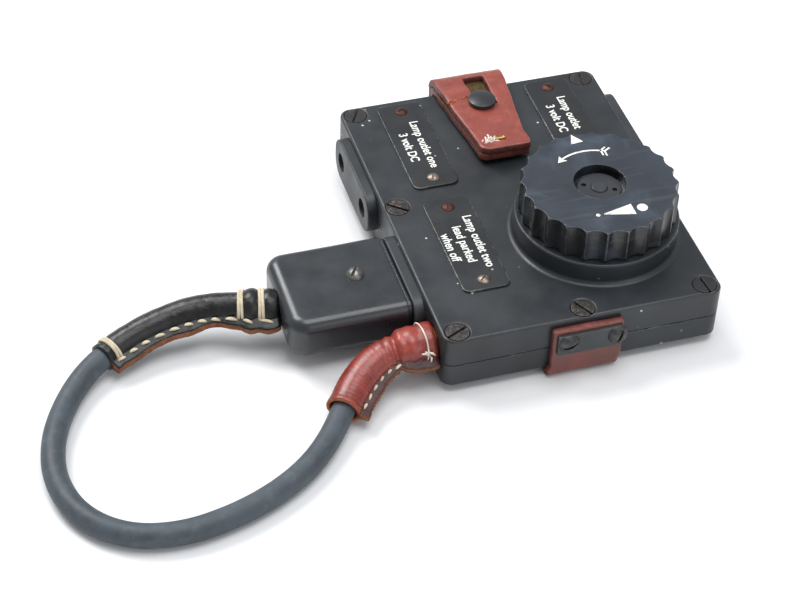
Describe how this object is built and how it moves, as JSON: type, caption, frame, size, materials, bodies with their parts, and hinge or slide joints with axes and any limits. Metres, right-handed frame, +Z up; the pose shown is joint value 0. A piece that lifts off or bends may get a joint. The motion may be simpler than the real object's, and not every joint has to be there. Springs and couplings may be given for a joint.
{
  "type": "illumination control box",
  "caption": "Flat two-shell dimmer box with a fluted knob, two-pin sockets, a leather strap on a stud, and a short sleeved rubber lead plugged into its own socket.",
  "frame": {"origin": "centre of the case's footprint on the surface that it rests on", "axes": "+X right, +Y towards the strap's hinge end, +Z up through the knob"},
  "size_m": [0.1727, 0.1292, 0.0326],
  "materials": {
    "case_paint": "satin, worn slate-black",
    "gasket": "matte",
    "steel": "aged",
    "sealed_screw": "red-brown sealing lacquer",
    "black_metal": "satin black",
    "socket_plastic": "moulded, satin",
    "brass": "dull",
    "wire": "matte",
    "phenolic": "moulded",
    "copper": "resistance wire",
    "bakelite": "worn gloss black",
    "red_leather": "polished, creased",
    "black_leather": "glossy, wrinkled",
    "twine": "waxed thread",
    "rubber": "matte"
  },
  "bodies": {
    "case": {"case_top": "case_paint", "case_base": "case_paint", "case_gasket": "gasket", "case_screws": "steel", "label_screws_front": "steel", "strap_clamp_screws": "steel", "terminal_screws": "steel", "rheostat_screws": "steel", "bush_nut": "steel", "stop_pin": "steel", "stud_nut": "steel", "rheostat_pillars": "steel", "label_screws_rear": "sealed_screw", "label_plate_left_rear": "black_metal", "label_plate_left_front": "black_metal", "label_plate_right_rear": "black_metal", "strap_clamp_plate": "black_metal", "strap_stud": "black_metal", "socket_left_rear": "socket_plastic", "socket_left_front": "socket_plastic", "socket_right_rear": "socket_plastic", "contacts_left_rear": "brass", "contacts_left_front": "brass", "contacts_right_rear": "brass", "contact_nuts": "brass", "gland_bush": "brass", "spindle_bush": "brass", "cable_cores": "wire", "inner_leads": "wire", "terminal_block": "phenolic", "rheostat_base": "phenolic", "rheostat_former": "phenolic", "rheostat_winding": "copper", "strap_band": "red_leather", "red_sleeve": "red_leather", "red_sleeve_binding": "twine", "cable": "rubber"},
    "knob": {"knob": "bakelite", "knob_nut": "brass", "spindle": "steel", "wiper_hub": "brass", "wiper_arm": "brass", "wiper_brush": "copper", "wiper_collar": "brass", "circlip": "steel"},
    "plug": {"plug_hood": "bakelite", "plug_insert": "phenolic", "plug_pins": "brass", "plug_screw": "steel", "plug_cores": "wire", "black_sleeve": "black_leather", "black_sleeve_bindings": "twine"},
    "strap_flap": {"strap_flap": "red_leather"}
  },
  "joints": [
    {"name": "knob_turn", "type": "hinge", "parent": "case", "child": "knob", "pos_m": [0.0131, -0.0167, 0.028], "axis": [0, 0, 1], "range_deg": [0, 279]},
    {"name": "plug_pull", "type": "slide", "parent": "case", "child": "plug", "axis": [-1, 0, 0], "range_m": [0, 0.014], "deforming": ["cable"]},
    {"name": "strap_lift", "type": "hinge", "parent": "case", "child": "strap_flap", "pos_m": [0.0005, 0.047, 0.017], "axis": [-1, 0, 0], "range_deg": [0, 110], "deforming": ["strap_flap"]}
  ]
}
